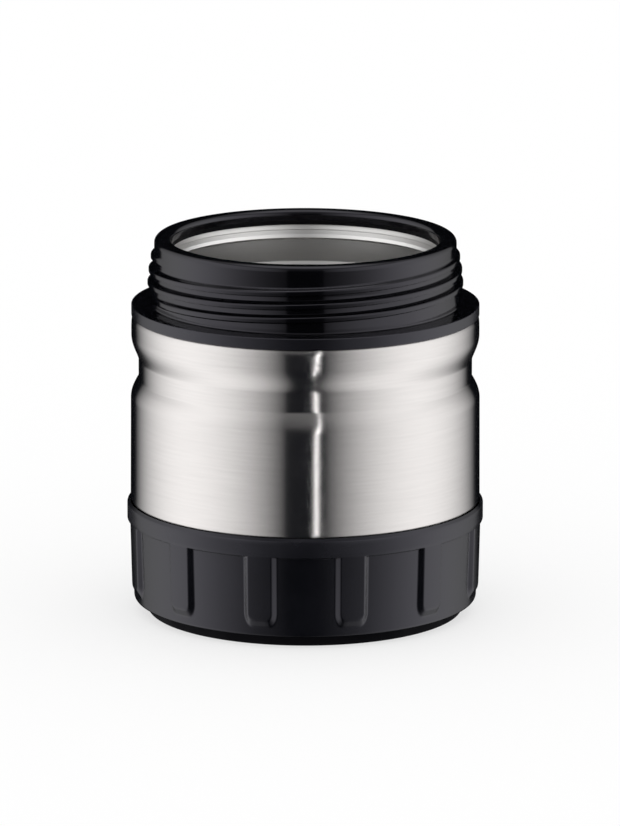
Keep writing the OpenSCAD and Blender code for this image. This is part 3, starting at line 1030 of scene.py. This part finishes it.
def dome_material(name, studio, kind):
    """What a finish's shine shows: tall softboxes at the sides, a light above, dark in front and behind."""
    glow, fade, left_below, upper, roof_low, overhead = DOME_LOOKS[kind]
    fade_above = 18.0
    wing_heights, wing_sides, wing_share = (44.0, 52.0), (20.0, 60.0), 0.25  # the light above, at the sides
    roof_high, roof_share = 72.0, 0.75
    haze_heights, haze_sides = (8.0, 30.0), (70.0, 110.0)
    back_sides, back_air = (140.0, 165.0), 0.4
    material, tree = empty_material(name)
    where = put(tree, "ShaderNodeTexCoord").outputs["Object"]
    aim = put(tree, "ShaderNodeVectorMath", {0: where}, operation="NORMALIZE").outputs[0]
    x, y, z = put(tree, "ShaderNodeSeparateXYZ", {"Vector": aim}).outputs
    degrees = 180 / math.pi
    turn = times(tree, calc(tree, "ARCTAN2", x, times(tree, y, -1.0)), degrees)  # 0 at the front
    side = calc(tree, "ABSOLUTE", turn)
    height = times(tree, calc(tree, "ARCSINE", z), degrees)

    below = ramp(tree, height, *fade, left_below, 1.0)
    tall = times(tree, ramp(tree, height, upper, upper + fade_above, 1.0, 0.0), below)
    boxes = times(tree, glow(tree, turn, side, height), studio.softbox, tall)
    wing = ramp(tree, height, *wing_heights, 0.0, wing_share)
    wing = times(tree, wing, ramp(tree, side, *wing_sides))
    roof = calc(tree, "ADD", wing, ramp(tree, height, roof_low, roof_high, 0.0, roof_share))
    front = ramp(tree, side, *haze_sides, 1.0, 0.0)
    haze = times(tree, ramp(tree, height, *haze_heights, 0.0, studio.haze), front)
    lamps = calc(tree, "ADD", boxes, times(tree, roof, overhead * studio.overhead))
    lamps = calc(tree, "MAXIMUM", lamps, haze)
    air = ramp(tree, side, *back_sides, 1.0, back_air)
    light = both(tree, emission(tree, studio.air, air), emission(tree, WHITE, lamps))
    if kind != "plastic":
        light = both(tree, light, clear(tree))
    put(tree, "ShaderNodeOutputMaterial", {"Surface": light})
    material.cycles.emission_sampling = "NONE"
    return material


def shine_only(light, group_name, names, hidden=False):
    """Lets a light show in shine alone, and only on the named pieces, or on all but those."""
    for kind in ("camera", "diffuse", "transmission", "volume_scatter", "shadow"):
        setattr(light, "visible_" + kind, False)
    group = bpy.data.collections.new(group_name)
    for name in names:
        group.objects.link(bpy.data.objects[name])
    if hidden:
        for entry in group.collection_objects:
            entry.light_linking.link_state = "EXCLUDE"
    light.light_linking.receiver_collection = group


def stage_object(name, mesh, material):
    """A mesh of the studio as an object with its material."""
    mesh.materials.append(material)
    made = bpy.data.objects.new(name, mesh)
    bpy.context.scene.collection.objects.link(made)
    return made


def shaped(name, shape, **sizes):
    """Mesh of one of Blender's plain shapes."""
    work = bmesh.new()
    shape(work, **sizes)
    mesh = bpy.data.meshes.new(name)
    work.to_mesh(mesh)
    work.free()
    return mesh


def build_dome(name, studio, kind, radius, pieces, hidden=False):
    """A dome round the jar whose light shows on some pieces."""
    mesh = shaped(name, bmesh.ops.create_uvsphere, u_segments=96, v_segments=48, radius=radius)
    dome = stage_object(name, mesh, dome_material(name, studio, kind))
    dome.location = (0, 0, STUDIO_MIDDLE)
    shine_only(dome, name + "_pieces", pieces, hidden)


def floor_material(studio):
    """Pale floor that shows white to the camera, in shine and through glass, and keeps a soft shadow."""
    material, tree = empty_material("pale_floor")
    lit = put(tree, "ShaderNodeBsdfDiffuse", {"Color": (*studio.floor, 1.0)}).outputs[0]
    path = put(tree, "ShaderNodeLightPath")
    seen = calc(tree, "MAXIMUM", path.outputs["Is Camera Ray"], path.outputs["Is Glossy Ray"])
    seen = calc(tree, "MAXIMUM", seen, path.outputs["Is Transmission Ray"])
    rest = [1.0 - c for c in studio.floor]
    put(tree, "ShaderNodeOutputMaterial", {"Surface": both(tree, lit, emission(tree, rest, seen))})
    return material


def strip_material(studio, level):
    """Light of the strip, stronger at its foot and above its middle. level gives the height of an angle."""
    material, tree = empty_material("light_strip")
    where = put(tree, "ShaderNodeTexCoord").outputs["Object"]
    z = put(tree, "ShaderNodeSeparateXYZ", {"Vector": where}).outputs[2]
    top, foot, middle = (2, 24), (-23, -16), (-10, -2)  # heights over which it changes, in degrees
    bright, top_share = 2.8, 0.36

    def change(heights, before, after):
        return ramp(tree, z, level(heights[0]), level(heights[1]), before, after)

    strength = change(top, studio.strip, top_share * studio.strip)
    strength = times(tree, strength, change(foot, bright, 1.0))
    strength = times(tree, strength, change(middle, 1.0, bright))
    light = both(tree, emission(tree, WHITE, strength), clear(tree))
    put(tree, "ShaderNodeOutputMaterial", {"Surface": light})
    material.cycles.emission_sampling = "NONE"
    return material


def build_strip(studio):
    """Thin leaning strip of light in front, which shines on the brushed steel alone."""
    rows, reach = 40, 5.0
    low_end, high_end, half_width = -31.0, 56.0, 0.5  # in degrees, as the jar sees them
    lean, lean_turn, lean_height = 0.072, 7.2, -13.0  # it stands lean_turn to the right at lean_height

    def level(height):
        return STUDIO_MIDDLE + reach * math.sin(math.radians(height))

    points, faces = [], []
    for i in range(rows + 1):
        height = mix(low_end, high_end, i / rows)
        out = reach * math.cos(math.radians(height))
        for edge in (-half_width, half_width):
            turn = math.radians(lean_turn + lean * (height - lean_height) + edge)
            points.append((out * math.sin(turn), -out * math.cos(turn), level(height)))
        if i:
            faces.append([2 * i - 2, 2 * i - 1, 2 * i + 1, 2 * i])
    mesh = bpy.data.meshes.new("light_strip")
    mesh.from_pydata(points, [], faces)
    strip = stage_object("light_strip", mesh, strip_material(studio, level))
    shine_only(strip, "light_strip_pieces", ["steel_body"])


def build_camera(studio):
    """Camera in front of the jar, which looks down at it a little."""
    scene = bpy.context.scene
    lens = bpy.data.cameras.new("studio_camera")
    camera = bpy.data.objects.new("studio_camera", lens)
    scene.collection.objects.link(camera)
    scene.camera = camera
    lens.sensor_fit = "VERTICAL"
    lens.sensor_height = 36.0
    lens.lens = studio.lens
    lens.clip_start, lens.clip_end = 0.05, 60.0
    middle = Vector((0, 0, 54.0 * MM))
    aim_right, aim_up = 1.36 * MM, 3.0 * MM
    tilt = studio.elevation
    back = Vector((0, -math.cos(tilt), math.sin(tilt)))
    up = Vector((0, math.sin(tilt), math.cos(tilt)))
    camera.location = middle + back * studio.distance
    aim = middle + Vector((1, 0, 0)) * aim_right + up * aim_up
    look = (aim - camera.location).to_track_quat("-Z", "Y")
    camera.rotation_mode = "QUATERNION"
    camera.rotation_quaternion = look @ Euler((0, 0, studio.roll)).to_quaternion()


def build_stage(studio):
    """Floor, surround, world light and camera."""
    scene = bpy.context.scene
    mesh = shaped("floor", bmesh.ops.create_grid, x_segments=12, y_segments=12, size=12.0)
    floor = stage_object("floor", mesh, floor_material(studio))
    floor.visible_glossy = False  # as under a jar that stands on a clear shelf

    body, liner = ["steel_body"], ["liner_wall", "liner_dish"]
    build_dome("plastic_dome", studio, "plastic", 6.0, body + liner, hidden=True)
    build_dome("liner_dome", studio, "liner", 5.8, liner)
    build_dome("body_dome", studio, "body", 5.6, body)
    build_strip(studio)

    world = bpy.data.worlds.new("studio_air")
    world.use_nodes = True
    sky = world.node_tree.nodes["Background"]
    sky.inputs["Color"].default_value = (*WHITE, 1.0)
    sky.inputs["Strength"].default_value = 1.0
    world.cycles.sampling_method = "NONE"
    scene.world = world

    build_camera(studio)
    scene.view_settings.view_transform = "Standard"


class JAR_OT_stage(Operator):
    """Set up the floor, the light and the camera"""

    bl_idname = "jar.stage"
    bl_label = "Studio"

    def execute(self, context):
        build_stage(context.scene.jar_studio)
        return {"FINISHED"}


# ---- add-on


class JAR_PT_pieces(Panel):
    """Lists the sizes, the finishes and the pieces"""

    bl_label = "Food Jar"
    bl_space_type = "VIEW_3D"
    bl_region_type = "UI"
    bl_category = "Food Jar"

    def draw(self, context):
        layout = self.layout
        for key, _ in SETTINGS:
            group = getattr(context.scene, key)
            box = layout.box()
            box.label(text=type(group).__doc__)
            for name in type(group).__annotations__:
                box.prop(group, name)
        for operator in OPERATORS:
            layout.operator(operator.bl_idname)


SETTINGS = (
    ("jar_body", JarBodySizes),
    ("jar_collar", JarCollarSizes),
    ("jar_cup", JarCupSizes),
    ("jar_finish", JarFinish),
    ("jar_studio", JarStudio),
)
OPERATORS = (
    JAR_OT_collar, JAR_OT_steel_body, JAR_OT_liner, JAR_OT_base_cup, JAR_OT_foot_ring, JAR_OT_inner_parts,
    JAR_OT_stage,
)


def register():
    """Registers the properties, the operators and the panel."""
    for key, group in SETTINGS:
        bpy.utils.register_class(group)
        setattr(bpy.types.Scene, key, PointerProperty(type=group))
    for cls in OPERATORS + (JAR_PT_pieces,):
        bpy.utils.register_class(cls)


def unregister():
    """Takes them away again, in the other order."""
    for cls in reversed(OPERATORS + (JAR_PT_pieces,)):
        bpy.utils.unregister_class(cls)
    for key, group in reversed(SETTINGS):
        delattr(bpy.types.Scene, key)
        bpy.utils.unregister_class(group)


def main():
    """Builds the jar and its studio."""
    register()
    bpy.ops.jar.collar()
    bpy.ops.jar.steel_body()
    bpy.ops.jar.liner()
    bpy.ops.jar.base_cup()
    bpy.ops.jar.foot_ring()
    bpy.ops.jar.inner_parts()
    bpy.ops.jar.stage()


if __name__ == "__main__":
    main()
